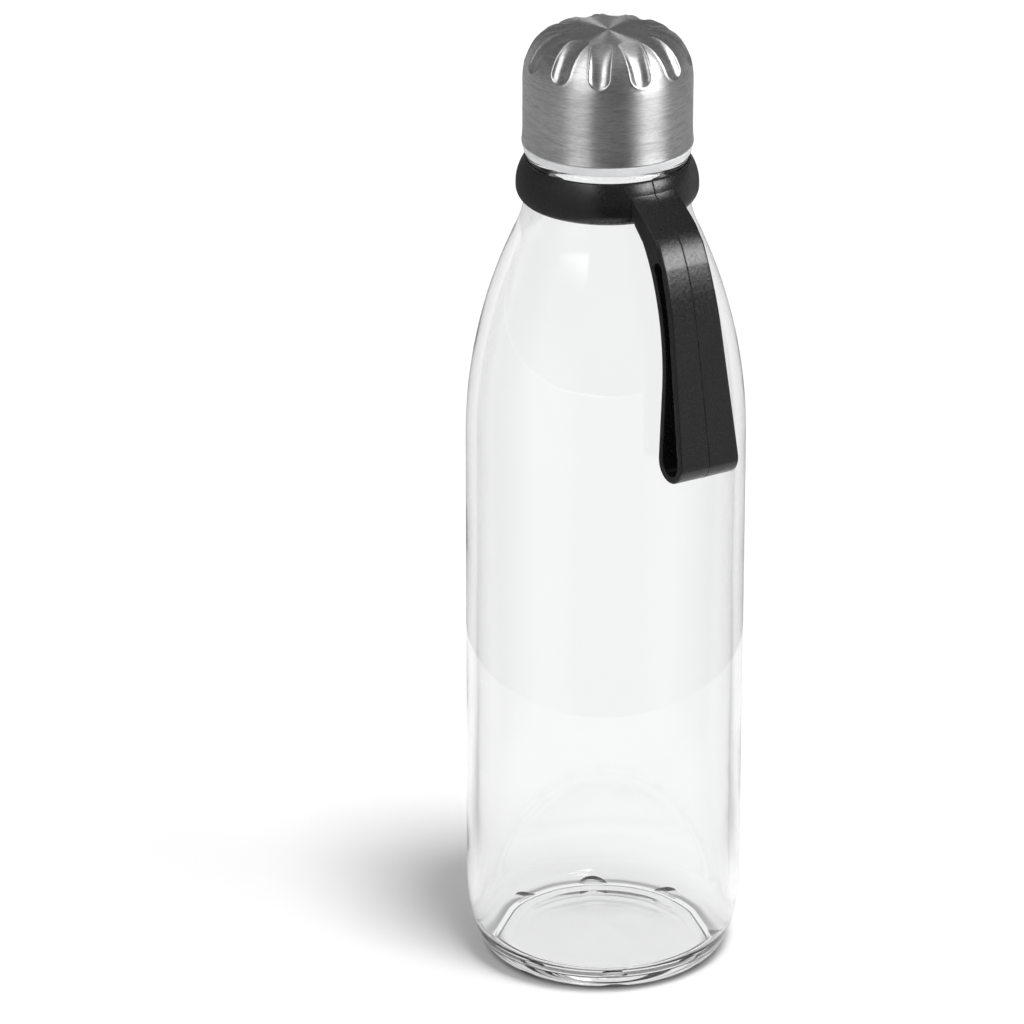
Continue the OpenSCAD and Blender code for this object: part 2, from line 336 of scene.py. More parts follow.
def build_cap():
    out = cap_profile()
    s = arc_length(out)
    n = normals_2d(out)
    low = np.interp(FLUTE_LOW_Z, out[:, 1], s)
    inward = out[:, 1] > DOME_Z
    top = s[inward][np.argmin(np.abs(out[inward, 0] - FLUTE_TOP_R))]
    half = FLUTE_W / 2
    s0, s1 = low + half, top - half
    phi = even(600)
    step = 2 * math.pi / FLUTES
    first = math.radians(FLUTE_TURN - 90)
    off = np.mod(phi - first + step / 2, step) - step / 2

    def depth(i):
        """How far row i is pressed in, round the cap. A low lip stands round each flute."""
        t = out[i, 0] * off
        ds = s[i] - np.clip(s[i], s0, s1)
        d = half - np.hypot(t, ds)
        q = np.clip(d / half, 0, 1)
        bowl = smoothstep(d / 0.3) ** 0.5 * (1 - (1 - q) ** 2.4)
        fade = 0.38 + 0.62 * smoothstep((s1 + half - s[i]) / 11)
        lip = 0.09 * np.exp(-((d + 0.25) / 0.28) ** 2)
        return FLUTE_DEEP * fade * bowl - lip * (s[i] > low - 2)

    outer_pts, inner_pts = [], []
    rows = len(out)
    for i in range(rows):
        d = depth(i)
        r, z = out[i, 0] - d * n[i, 0], out[i, 1] - d * n[i, 1]
        outer_pts.append(np.c_[r * np.cos(phi), r * np.sin(phi), z])
    for i in reversed(range(4, rows)):
        d = depth(i) + SHEET
        r, z = out[i, 0] - d * n[i, 0], out[i, 1] - d * n[i, 1]
        r = np.maximum(r, 0.05)
        inner_pts.append(np.c_[r * np.cos(phi), r * np.sin(phi), z])
    cols = len(phi)
    rim_r = CAP_R - SHEET
    rim = np.c_[rim_r * np.cos(phi), rim_r * np.sin(phi), np.full(cols, RIM_Z + 0.05)]
    verts = np.vstack(outer_pts)
    faces = grid_faces(rows, cols)
    k = len(verts)
    faces += [(k, (rows - 1) * cols + j, (rows - 1) * cols + (j + 1) % cols) for j in range(cols)]
    verts = np.vstack([verts, [[0, 0, APEX_Z]]])
    pole = len(verts)
    verts = np.vstack([verts, [[0, 0, APEX_Z - SHEET]]])
    base = pole + 1
    inner = np.vstack(inner_pts + [rim])
    irows = len(inner_pts) + 1
    faces += [(base + j, base + (j + 1) % cols, pole) for j in range(cols)]
    for i in range(irows - 1):
        for j in range(cols):
            j1 = (j + 1) % cols
            a = base + i * cols
            faces.append((a + j, a + cols + j, a + cols + j1, a + j1))
    last = base + (irows - 1) * cols
    faces += [(last + j, j, (j + 1) % cols, last + (j + 1) % cols) for j in range(cols)]
    verts = np.vstack([verts, inner])
    return make_object("cap_steel", verts, faces)


# ---------------------------------------------------------------- liner and gasket
def build_liner():
    z0 = liner_lo.z / MM
    z1 = liner_hi.z / MM
    r1 = liner_hi.x / MM
    bore = 18.95
    shoulder = RIM_Z - 0.05
    inner_r = CAP_R - SHEET - 0.05
    plate = 234.9
    body = path(
        arc((inner_r - 1.2, z1 - 1.2), 1.2, 90, 0, 6),
        line((inner_r, z1 - 1.3), (inner_r, shoulder + 0.2), 12),
        arc((inner_r + 0.2, shoulder + 0.05), 0.05, 180, 90, 3),
        arc((r1 - 0.25, shoulder - 0.25), 0.25, 90, 0, 5),
        line((r1 - 0.02, shoulder - 0.4), (20.62, z0 + 0.32), 6),
        arc((20.3, z0 + 0.3), 0.3, -5, -90, 6),
        line((20.0, z0), (bore + 0.5, z0), 3),
        arc((bore + 0.35, z0 + 0.35), 0.35, 270, 180, 5),
    )
    thread_from = len(body)
    wall = line((bore, z0 + 0.8), (bore, plate - 0.6), 76)
    thread_to = thread_from + len(wall)
    roof = path(
        arc((bore - 0.5, plate - 0.5), 0.5, 0, 90, 5),
        line((bore - 0.8, plate), (0.6, plate), 6),
    )
    top = line((0.6, z1), (inner_r - 1.4, z1), 8)
    pts = np.vstack([top, body, wall, roof])
    shift = len(top)

    def shape(i, r, z, phi):
        if thread_from + shift <= i < thread_to + shift:
            r = r - THREAD_H * helix_height(phi, z, THREAD_Z + LEAD / 2, LINER_TURNS)
        return r, z

    return lathe("cap_liner", pts, even(200), shape, pole_start=z1, pole_end=plate)


def build_gasket():
    lo, hi, r = seal_lo.z / MM, seal_hi.z / MM, seal_hi.x / MM
    pts = path(
        line((0.5, hi), (r - 0.4, hi), 6),
        arc((r - 0.3, hi - 0.3), 0.3, 90, 0, 5),
        arc((r - 0.3, lo + 0.3), 0.3, 0, -90, 5),
        line((r - 0.5, lo), (MOUTH_R - 1.2, lo), 6),
        arc((MOUTH_R - 1.2, lo + 0.3), 0.3, 270, 180, 4),
        line((MOUTH_R - 1.6, lo + 0.55), (0.5, lo + 0.6), 5),
    )
    return lathe("cap_gasket", pts, even(160), pole_start=hi, pole_end=lo + 0.6)


# ---------------------------------------------------------------- carry ring and loop
RING_R = 22.6
RING_TOP = ring_hi.z / MM
RING_LOW = 203.2
BORE = 19.35
FLASH = 0.16


def flash_height(x):
    """The thin raised line left where the two mould halves met, at x = 0."""
    return np.exp(-((np.abs(x) / 0.11) ** 2.5))


def ring_angles():
    """Angles bunched at the two parting lines on the -Y and +Y sides."""
    base = np.linspace(0, 2 * math.pi, 200, endpoint=False)
    fine = []
    for c in (-math.pi / 2, math.pi / 2):
        fine += [c + d / RING_R for d in (-0.34, -0.2, -0.12, -0.07, 0, 0.07, 0.12, 0.2, 0.34)]
    fine = np.mod(fine, 2 * math.pi)
    keep = [a for a in base if np.min(np.abs(np.angle(np.exp(1j * (a - fine))))) > 0.45 / RING_R]
    return np.sort(np.r_[keep, fine])


def build_ring():
    crown = RING_TOP - 206.9
    rise = RING_R - BEAD_R - 0.1 - 0.4
    big = (rise**2 + crown**2) / (2 * rise)
    outer = path(
        line((20.82, RING_LOW + 0.06), (20.95, RING_LOW), 2),
        oval((RING_R - 3.05, 206.55), 3.05, 3.75, -62, 0, 18),
        arc((RING_R - big, 206.9), big, 0, math.degrees(math.asin(crown / big)), 24)[:-1],
    )
    n_out = len(outer)
    inner = path(
        line((BEAD_R + 0.42, RING_TOP - 0.03), (BEAD_R + 0.2, RING_TOP), 2),
        line((BEAD_R + 0.1, RING_TOP - 0.12), (BEAD_R + 0.1, BEAD_Z - 0.1), 4),
        line((BORE, BEAD_Z - 0.15), (BORE, LEDGE_Z + 0.15), 6),
        line((20.75, LEDGE_Z + 0.1), (20.75, RING_LOW + 0.2), 3),
    )
    pts = np.vstack([outer, inner])
    n = normals_2d(outer)

    def shape(i, r, z, phi):
        if i < n_out:
            x = RING_R * np.cos(phi)
            f = FLASH * flash_height(x) * (0.75 + 0.25 * math.sin(i * 1.3))
            r = r + f * n[i, 0]
            z = z + f * n[i, 1]
        return r, z

    return lathe("carry_ring_skin", pts, ring_angles(), shape, closed=True)


BEND, BEND_R = (42.85, 149.0), 5.25
BAND = 1.8
TILT = 11.4
FRONT_UP = 30.5
SLOW_R, FAST_R = 80.0, 14.0
SLOW_TO, FAST_TO = 25.5, 55.0
BACK_R, BACK_FROM_Z, BACK_TO = 58.4, 166.0, 35.6
HOLLOW_TO, HOLLOW_TOP_Z = 23.0, 195.9
HOLLOW_TOP_FRONT, HOLLOW_TOP_BACK = (34.9, 195.4), (31.4, HOLLOW_TOP_Z)
FACING_TOP_FRONT, FACING_TOP_BACK = (36.57, 196.66), (29.6, 195.4)


def loop_paths():
    """The loop's outside outline and the outline of its hollow, as (distance from axis, height)."""
    tilt = math.radians(TILT)
    up = np.array([-math.sin(tilt), math.cos(tilt)])
    out = np.array([math.cos(tilt), math.sin(tilt)])
    bend_front = at_angle(BEND, BEND_R, TILT)
    p1 = bend_front + FRONT_UP * up
    slow_c = p1 - SLOW_R * out
    p2 = at_angle(slow_c, SLOW_R, SLOW_TO)
    fast_c = at_angle(p2, -FAST_R, SLOW_TO)
    p3 = at_angle(fast_c, FAST_R, FAST_TO)
    back_c = (BEND[0] - BEND_R - BACK_R, BACK_FROM_Z)
    root_front = at_angle(p3, 13.4, FAST_TO + 90)
    back_end = at_angle(back_c, BACK_R, BACK_TO)
    root_back = at_angle(back_end, 6.6, 38 + 90)
    outer = path(
        line(root_front, p3, 22),
        arc(fast_c, FAST_R, FAST_TO, SLOW_TO, 12),
        arc(slow_c, SLOW_R, SLOW_TO, TILT, 30),
        line(p1, bend_front, 50),
        arc(BEND, BEND_R, TILT, -180, 44),
        line((BEND[0] - BEND_R, BEND[1]), (BEND[0] - BEND_R, BACK_FROM_Z), 30),
        arc(back_c, BACK_R, 0, BACK_TO, 60),
        line(back_end, root_back, 12),
        line(root_back, root_front, 14),
    )
    # the hollow ends in a round whose middle is halfway between its front and back walls
    top_front = at_angle(slow_c, SLOW_R - BAND, HOLLOW_TO)
    back_to = math.degrees(math.asin((HOLLOW_TOP_Z - back_c[1]) / (BACK_R + BAND)))
    top_back = at_angle(back_c, BACK_R + BAND, back_to)
    mid = (top_front + top_back) / 2
    round_r = np.linalg.norm(top_front - top_back) / 2
    facing = math.degrees(math.atan2(*(top_front - mid)[::-1]))
    hollow = path(
        arc(mid, round_r, facing + 90, facing, 12),
        arc(slow_c, SLOW_R - BAND, HOLLOW_TO, TILT, 30),
        line(p1 - BAND * out, at_angle(BEND, BEND_R - BAND, TILT), 50),
        arc(BEND, BEND_R - BAND, TILT, -180, 44),
        line((BEND[0] - BEND_R + BAND, BEND[1]), (BEND[0] - BEND_R + BAND, BACK_FROM_Z), 30),
        arc(back_c, BACK_R + BAND, 0, back_to, 60),
        arc(mid, round_r, facing + 180, facing + 90, 12),
    )
    return outer, hollow


def half_width(z):
    """Half the band's width at height z. It narrows upwards and spreads a little at the ring."""
    width = np.interp(z, [134, 146, 206, 216], [17.5, 17.0, 12.0, 11.6])
    return 0.5 * width + 0.4 * smoothstep((z - 200) / 5)


def build_loop():
    outer, hollow = loop_paths()
    s_h, s_o = arc_length(hollow), arc_length(outer)
    round_h, round_o = s_h[-1], s_o[-1]
    rows = 230
    at = np.linspace(0, round_h, rows, endpoint=False)
    H = np.c_[np.interp(at, s_h, hollow[:, 0]), np.interp(at, s_h, hollow[:, 1])]

    def nearest(pts, s, target):
        return s[int(np.argmin(np.linalg.norm(pts - np.array(target), axis=1)))]

    # the outside outline is walked by breakpoints that face the hollow's own
    on_hollow = [
        nearest(hollow, s_h, HOLLOW_TOP_FRONT),
        nearest(hollow, s_h, at_angle(BEND, BEND_R - BAND, TILT)),
        nearest(hollow, s_h, (BEND[0] - BEND_R + BAND, BEND[1])),
        nearest(hollow, s_h, HOLLOW_TOP_BACK),
    ]
    on_outside = [
        nearest(outer, s_o, FACING_TOP_FRONT),
        nearest(outer, s_o, at_angle(BEND, BEND_R, TILT)),
        nearest(outer, s_o, (BEND[0] - BEND_R, BEND[1])),
        nearest(outer, s_o, FACING_TOP_BACK),
    ]
    outside_at = [round_o - 4.0, *(v + round_o for v in on_outside), 2 * round_o - 4.0]
    s_map = np.mod(np.interp(at, [0, *on_hollow, round_h], outside_at), round_o)
    O = np.c_[np.interp(s_map, s_o, outer[:, 0]), np.interp(s_map, s_o, outer[:, 1])]
    d = O - H
    thick = np.linalg.norm(d, axis=1)
    u = d / thick[:, None]
    # section of the band: across the width on the outside, round the edge, back across the hollow side
    edge = 0.55
    fine = np.array([-0.3, -0.2, -0.13, -0.08, 0, 0.08, 0.13, 0.2, 0.3])
    sect = []
    for i in range(rows):
        w = half_width(O[i, 1])
        wh = half_width(H[i, 1])
        T = thick[i]
        e = min(edge, 0.42 * T)
        flat = np.linspace(0.06, 1, 9) * (w - e)
        outside = [(x, T) for x in np.r_[-flat[::-1], fine, flat]]
        r_c = [(w - e + e * math.sin(a), T - e + e * math.cos(a)) for a in np.radians([18, 36, 54, 72, 90])]
        r_side = [(w - (w - wh) * 0.5, T * 0.5)]
        e2 = min(0.35, 0.3 * T)
        r_c2 = [(wh - e2 + e2 * math.cos(a), e2 - e2 * math.sin(a)) for a in np.radians([0, 22, 45, 67, 90])]
        inside = [(x * (wh - e2), 0.0) for x in np.linspace(0.9, -0.9, 9)]
        l_c2 = [(-x, t) for x, t in reversed(r_c2)]
        l_side = [(-x, t) for x, t in reversed(r_side)]
        l_c = [(-x, t) for x, t in reversed(r_c)]
        sec = np.array(outside + r_c + r_side + r_c2 + inside + l_c2 + l_side + l_c)
        n_out = len(outside)
        f = np.zeros(len(sec))
        uneven = 0.7 + 0.3 * math.sin(at[i] * 0.9) * math.sin(at[i] * 0.37 + 1)
        f[:n_out] = FLASH * flash_height(sec[:n_out, 0]) * uneven
        t = sec[:, 1] + f
        p = H[i] + t[:, None] * u[i]
        hug = RING_R - np.sqrt(RING_R**2 - sec[:, 0] ** 2)
        p[:, 0] -= hug * smoothstep((27 - p[:, 0]) / 4)
        sect.append(np.c_[sec[:, 0], -p[:, 0], p[:, 1]])
    faces = grid_faces(rows, len(sect[0]), wrap_rows=True)
    return make_object("carry_loop_skin", np.vstack(sect), faces)


# ---------------------------------------------------------------- materials
def new_material(name):
    m = bpy.data.materials.new(name)
    m.use_nodes = True
    nt = m.node_tree
    nt.nodes.clear()
    out = nt.nodes.new("ShaderNodeOutputMaterial")
    bsdf = nt.nodes.new("ShaderNodeBsdfPrincipled")
    nt.links.new(bsdf.outputs[0], out.inputs["Surface"])
    return m, nt, bsdf


def node(nt, kind, **props):
    n = nt.nodes.new(kind)
    for k, v in props.items():
        setattr(n, k, v)
    return n


def noise(nt, vector, scale, detail=3.0, rough=0.55, dims="3D"):
    n = node(nt, "ShaderNodeTexNoise", noise_dimensions=dims)
    n.inputs["Scale"].default_value = scale
    n.inputs["Detail"].default_value = detail
    n.inputs["Roughness"].default_value = rough
    nt.links.new(vector, n.inputs["Vector"])
    return n


def ramp(nt, value, lo, hi, out_lo, out_hi):
    n = node(nt, "ShaderNodeMapRange")
    n.inputs["From Min"].default_value = lo
    n.inputs["From Max"].default_value = hi
    n.inputs["To Min"].default_value = out_lo
    n.inputs["To Max"].default_value = out_hi
    nt.links.new(value, n.inputs["Value"])
    return n.outputs["Result"]


def calc(nt, operation, a, b=None):
    n = node(nt, "ShaderNodeMath", operation=operation)
    for k, v in enumerate((a, b)):
        if v is None:
            continue
        if isinstance(v, (int, float)):
            n.inputs[k].default_value = v
        else:
            nt.links.new(v, n.inputs[k])
    return n.outputs[0]


def soft(nt, value, lo, hi, out_lo, out_hi):
    out = ramp(nt, value, lo, hi, out_lo, out_hi)
    out.node.interpolation_type = "SMOOTHSTEP"
    return out


def mix_color(nt, fac, a, b):
    n = node(nt, "ShaderNodeMix", data_type="RGBA")
    nt.links.new(fac, n.inputs["Factor"])
    n.inputs["A"].default_value = (*a, 1)
    n.inputs["B"].default_value = (*b, 1)
    return n.outputs["Result"]


def bump(nt, height, strength, distance, before=None):
    n = node(nt, "ShaderNodeBump")
    n.inputs["Strength"].default_value = strength
    n.inputs["Distance"].default_value = distance
    nt.links.new(height, n.inputs["Height"])
    if before is not None:
        nt.links.new(before, n.inputs["Normal"])
    return n.outputs["Normal"]


def glass_material():
    m, nt, b = new_material("bottle_glass_clear")
    tc = node(nt, "ShaderNodeTexCoord")
    slow = noise(nt, tc.outputs["Object"], 38, 2.0, 0.5)
    fine = noise(nt, tc.outputs["Object"], 900, 2.0, 0.5)
    tint = mix_color(nt, slow.outputs["Fac"], (0.952, 0.954, 0.956), (0.964, 0.966, 0.968))
    nt.links.new(tint, b.inputs["Base Color"])
    nt.links.new(ramp(nt, fine.outputs["Fac"], 0.4, 0.8, 0.0, 0.02), b.inputs["Roughness"])
    b.inputs["IOR"].default_value = 1.5
    b.inputs["Transmission Weight"].default_value = 1.0
    nt.links.new(bump(nt, slow.outputs["Fac"], 0.12, 0.0006), b.inputs["Normal"])
    return m


def steel_material():
    m, nt, b = new_material("cap_brushed_steel")
    tc = node(nt, "ShaderNodeTexCoord")
    sep = node(nt, "ShaderNodeSeparateXYZ")
    nt.links.new(tc.outputs["Object"], sep.inputs[0])
    flat = node(nt, "ShaderNodeCombineXYZ")
    nt.links.new(sep.outputs["X"], flat.inputs["X"])
    nt.links.new(sep.outputs["Y"], flat.inputs["Y"])
    length = node(nt, "ShaderNodeVectorMath", operation="LENGTH")
    nt.links.new(flat.outputs[0], length.inputs[0])
    unit = node(nt, "ShaderNodeVectorMath", operation="NORMALIZE")
    nt.links.new(flat.outputs[0], unit.inputs[0])
    us = node(nt, "ShaderNodeSeparateXYZ")
    nt.links.new(unit.outputs[0], us.inputs[0])

    def streaks(around, pitch, detail, rough):
        """Noise drawn out round the cap. The pitch is in metres, across the streaks."""
        v = node(nt, "ShaderNodeCombineXYZ")
        nt.links.new(calc(nt, "MULTIPLY", us.outputs["X"], around), v.inputs["X"])
        nt.links.new(calc(nt, "MULTIPLY", us.outputs["Y"], around), v.inputs["Y"])
        nt.links.new(calc(nt, "MULTIPLY", sep.outputs["Z"], 1.0 / pitch), v.inputs["Z"])
        n = noise(nt, v.outputs[0], 1.0, detail, rough, "4D")
        nt.links.new(calc(nt, "MULTIPLY", length.outputs["Value"], 1.0 / pitch), n.inputs["W"])
        return n.outputs["Fac"]

    long_s = streaks(4.5, 0.00048, 4.0, 0.62)
    short_s = streaks(16.0, 0.00016, 3.0, 0.6)
    blot = noise(nt, tc.outputs["Object"], 120, 3.0, 0.6)
    both = calc(nt, "ADD", long_s, short_s)
    tone = mix_color(nt, ramp(nt, both, 0.75, 1.25, 0, 1), (0.46, 0.46, 0.465), (0.74, 0.74, 0.74))
    nt.links.new(tone, b.inputs["Base Color"])
    nt.links.new(ramp(nt, blot.outputs["Fac"], 0.3, 0.7, 0.34, 0.40), b.inputs["Roughness"])
    b.inputs["Metallic"].default_value = 1.0
    b.inputs["Anisotropic"].default_value = 0.94
    b.inputs["Anisotropic Rotation"].default_value = 0.25
    tan = node(nt, "ShaderNodeTangent", direction_type="RADIAL", axis="Z")
    nt.links.new(tan.outputs[0], b.inputs["Tangent"])
    nt.links.new(bump(nt, both, 0.3, 0.00005), b.inputs["Normal"])
    return m


def liner_material():
    m, nt, b = new_material("liner_plastic")
    tc = node(nt, "ShaderNodeTexCoord")
    n1 = noise(nt, tc.outputs["Object"], 260, 3.0, 0.5)
    n2 = noise(nt, tc.outputs["Object"], 2600, 2.0, 0.5)
    tone = mix_color(nt, n1.outputs["Fac"], (0.62, 0.63, 0.645), (0.73, 0.74, 0.75))
    nt.links.new(tone, b.inputs["Base Color"])
    nt.links.new(ramp(nt, n1.outputs["Fac"], 0.3, 0.7, 0.28, 0.4), b.inputs["Roughness"])
    b.inputs["IOR"].default_value = 1.49
    b.inputs["Subsurface Weight"].default_value = 0.35
    b.inputs["Subsurface Radius"].default_value = (0.002, 0.002, 0.002)
    b.inputs["Subsurface Scale"].default_value = 1.0
    nt.links.new(bump(nt, n2.outputs["Fac"], 0.15, 0.00003), b.inputs["Normal"])
    return m


def gasket_material():
    m, nt, b = new_material("gasket_silicone")
    tc = node(nt, "ShaderNodeTexCoord")
    n1 = noise(nt, tc.outputs["Object"], 500, 3.0, 0.5)
    tone = mix_color(nt, n1.outputs["Fac"], (0.74, 0.74, 0.71), (0.84, 0.84, 0.82))
    nt.links.new(tone, b.inputs["Base Color"])
    nt.links.new(ramp(nt, n1.outputs["Fac"], 0.3, 0.7, 0.5, 0.62), b.inputs["Roughness"])
    nt.links.new(bump(nt, n1.outputs["Fac"], 0.2, 0.00005), b.inputs["Normal"])
    return m


def rubber_material():
    m, nt, b = new_material("carry_black_silicone")
    tc = node(nt, "ShaderNodeTexCoord")
    slow = noise(nt, tc.outputs["Object"], 90, 3.0, 0.55)
    grain = noise(nt, tc.outputs["Object"], 3600, 3.0, 0.6)
    mottle = noise(nt, tc.outputs["Object"], 1300, 2.0, 0.5)
    tone = mix_color(nt, slow.outputs["Fac"], (0.004, 0.004, 0.0042), (0.007, 0.007, 0.0072))
    nt.links.new(tone, b.inputs["Base Color"])
    shine = ramp(nt, mottle.outputs["Fac"], 0.3, 0.7, 0.18, 0.30)
    # the faces that look sideways, along X, are rougher than the others
    facing = node(nt, "ShaderNodeSeparateXYZ")
    nt.links.new(tc.outputs["Normal"], facing.inputs[0])
    matt = soft(nt, calc(nt, "ABSOLUTE", facing.outputs["X"]), 0.45, 0.85, 0.0, 0.45)
    nt.links.new(calc(nt, "ADD", shine, matt), b.inputs["Roughness"])
    b.inputs["IOR"].default_value = 1.5
    grains = bump(nt, grain.outputs["Fac"], 0.35, 0.00006)
    nt.links.new(bump(nt, mottle.outputs["Fac"], 0.25, 0.0001, grains), b.inputs["Normal"])
    return m


# ---------------------------------------------------------------- assemble
def join_union(a, b, name):
    """One closed skin from two overlapping closed meshes."""
    mod = a.modifiers.new("union", "BOOLEAN")
    mod.operation = "UNION"
    mod.solver = "EXACT"
    mod.object = b
    dg = bpy.context.evaluated_depsgraph_get()
    me = bpy.data.meshes.new_from_object(a.evaluated_get(dg))
    me.name = name
    ob = bpy.data.objects.new(name, me)
    bpy.context.scene.collection.objects.link(ob)
    for o in (a, b):
        bpy.data.objects.remove(o)
    me.polygons.foreach_set("use_smooth", [True] * len(me.polygons))
    return ob


def sharpen(ob, angle):
    """Keeps edges steeper than the angle crisp in the shading."""
    bm = bmesh.new()
    bm.from_mesh(ob.data)
    for e in bm.edges:
        if len(e.link_faces) == 2:
            e.smooth = e.calc_face_angle(0) < math.radians(angle)
    bm.to_mesh(ob.data)
    bm.free()


glass = build_glass()
cap = build_cap()
liner = build_liner()
gasket = build_gasket()
ring = build_ring()
loop = build_loop()
strap = join_union(ring, loop, "carry_strap")

for ob in (glass, liner, gasket, strap, cap):
    sharpen(ob, 50)

glass.data.materials.append(glass_material())
cap.data.materials.append(steel_material())
liner.data.materials.append(liner_material())
gasket.data.materials.append(gasket_material())
strap.data.materials.clear()
strap.data.materials.append(rubber_material())

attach(glass, "bottle")
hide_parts("glass_bottle")
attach(cap, "cap")
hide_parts("cap_shell")
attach(liner, "cap")
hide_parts("cap_insert")
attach(gasket, "gasket")
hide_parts("cap_seal")
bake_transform(strap)
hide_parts("carry_ring", "carry_loop")


# ---------------------------------------------------------------- stage, light, camera
FRONT_DARK = 0.08
SIDE_LEVEL = 0.42
BACK_LEVEL = 0.17
TOP_LEVEL = 0.45
AMBIENT = 0.50
# painted light: the floor glows at this strength for rays that came through glass
THROUGH_GLASS = 1.0
WING_DEPTH = 0.55
# painted shade in that glow: two wings by angle round the bottle, starting at these radii
WING_FROM, WING_TO, WING_START = (70, 95), (125, 142), (0.06, 0.1)
# painted contact shadow: a dark grey ring on the floor round the foot, its radii in metres and its grey
CONTACT_SHADOW_FROM, CONTACT_SHADOW_TO, CONTACT_SHADOW_GREY = (0.0266, 0.0276), (0.0286, 0.0315), 0.22
# share of the painted through-glass glow in how the floor looks through glass
FLOOR_GLOW = 0.8
FLAG_IN, FLAG_OUT, FLAG_Z = 0.2, 5.0, 0.002
LENS_MM, SENSOR_MM = 226.546875, 36.0
CAMERA_DISTANCE, CAMERA_ASIDE, CAMERA_AIM_Z = 1.617, 0.02341, 0.1187
RIGHT_AZ, RIGHT_HALF, RIGHT_LOW, RIGHT_HIGH = 65, 19, 0.1, 10.8
LEFT_AZ, LEFT_HALF, LEFT_LOW, LEFT_HIGH = -42, 18, 0.15, 3.7


def spot(az, el, dist, target=(0, 0, 0.12)):
    """A place seen from the target at an azimuth from the camera's side and an elevation."""
    a, e = math.radians(PHOTO_AZ + az), math.radians(el)
    return Vector(target) + dist * Vector((math.sin(a) * math.cos(e), -math.cos(a) * math.cos(e), math.sin(e)))


def floor_plane():
    """The pale floor. A ring under the foot is painted dark as a contact shadow, and seen through glass the
    floor glows with painted light.

    That glow is darker in two wings of painted shade, to the sides of the direction that the photographer
    looked in.
    """
    me = bpy.data.meshes.new("floor")
    bm = bmesh.new()
    bmesh.ops.create_grid(bm, x_segments=8, y_segments=8, size=6.0)
    bm.to_mesh(me)
    bm.free()
    ob = bpy.data.objects.new("floor", me)
    bpy.context.scene.collection.objects.link(ob)
    m, nt, b = new_material("floor_white")
    tc = node(nt, "ShaderNodeTexCoord")
    n1 = noise(nt, tc.outputs["Object"], 3, 2.0, 0.5)
    out = node(nt, "ShaderNodeVectorMath", operation="LENGTH")
    nt.links.new(tc.outputs["Object"], out.inputs[0])
    r = out.outputs["Value"]
    # painted shadow: the floor's colour is greyed in a ring round the foot, where contact shade would fall
    contact_shadow = calc(nt, "MULTIPLY", soft(nt, r, *CONTACT_SHADOW_FROM, 0.0, 1.0), soft(nt, r, *CONTACT_SHADOW_TO, 1.0, 0.0))
    pale = mix_color(nt, n1.outputs["Fac"], (0.90, 0.90, 0.90), (0.915, 0.915, 0.915))
    shade = node(nt, "ShaderNodeMix", data_type="RGBA")
    nt.links.new(contact_shadow, shade.inputs["Factor"])
    nt.links.new(pale, shade.inputs["A"])
    shade.inputs["B"].default_value = (CONTACT_SHADOW_GREY, CONTACT_SHADOW_GREY, CONTACT_SHADOW_GREY, 1)
    nt.links.new(shade.outputs["Result"], b.inputs["Base Color"])
    b.inputs["Roughness"].default_value = 0.9
    b.inputs["Specular IOR Level"].default_value = 0.1
    # painted light: for rays that came through glass the floor is mostly an emitter rather than lit
    glow = node(nt, "ShaderNodeEmission")
    angle = calc(nt, "ABSOLUTE", azimuth(nt, tc.outputs["Object"]))
    # painted shade: the through-glass glow is darker in two wings to the sides
    painted_wing_shade = calc(nt, "MULTIPLY", soft(nt, angle, *WING_FROM, 0.0, 1.0), soft(nt, angle, *WING_TO, 1.0, 0.0))
    painted_wing_shade = calc(nt, "MULTIPLY", painted_wing_shade, soft(nt, r, *WING_START, 0.0, WING_DEPTH))
    through_glass_glow = calc(nt, "SUBTRACT", soft(nt, contact_shadow, 0.0, 1.0, THROUGH_GLASS, 0.4), painted_wing_shade)
    nt.links.new(through_glass_glow, glow.inputs["Strength"])
    ray = node(nt, "ShaderNodeLightPath")
    both = node(nt, "ShaderNodeMixShader")
    nt.links.new(calc(nt, "MULTIPLY", ray.outputs["Is Transmission Ray"], FLOOR_GLOW), both.inputs[0])
    nt.links.new(b.outputs[0], both.inputs[1])
    nt.links.new(glow.outputs[0], both.inputs[2])
    nt.links.new(both.outputs[0], nt.nodes["Material Output"].inputs["Surface"])
    me.materials.append(m)


def grey_card():
    """A flag just over the floor, seen only in reflections, so metal and rubber don't mirror the floor."""
    me = bpy.data.meshes.new("flag")
    bm = bmesh.new()
    n = 72
    ri = [bm.verts.new((FLAG_IN * math.cos(a), FLAG_IN * math.sin(a), 0.0)) for a in even(n)]
    ro = [bm.verts.new((FLAG_OUT * math.cos(a), FLAG_OUT * math.sin(a), 0.0)) for a in even(n)]
    for i in range(n):
        j = (i + 1) % n
        bm.faces.new((ri[i], ro[i], ro[j], ri[j]))
    bm.to_mesh(me)
    bm.free()
    ob = bpy.data.objects.new("flag", me)
    ob.location.z = FLAG_Z
    bpy.context.scene.collection.objects.link(ob)
    m = bpy.data.materials.new("flag_grey")
    m.use_nodes = True
    nt = m.node_tree
    nt.nodes.clear()
    out = nt.nodes.new("ShaderNodeOutputMaterial")
    em = nt.nodes.new("ShaderNodeEmission")
    tc = node(nt, "ShaderNodeTexCoord")
    nt.links.new(low_level(nt, azimuth(nt, tc.outputs["Object"])), em.inputs["Strength"])
    nt.links.new(em.outputs[0], out.inputs["Surface"])
    me.materials.append(m)
    ob.visible_camera = False
    ob.visible_diffuse = False
    ob.visible_transmission = False
    ob.visible_shadow = False
    ob.visible_volume_scatter = False


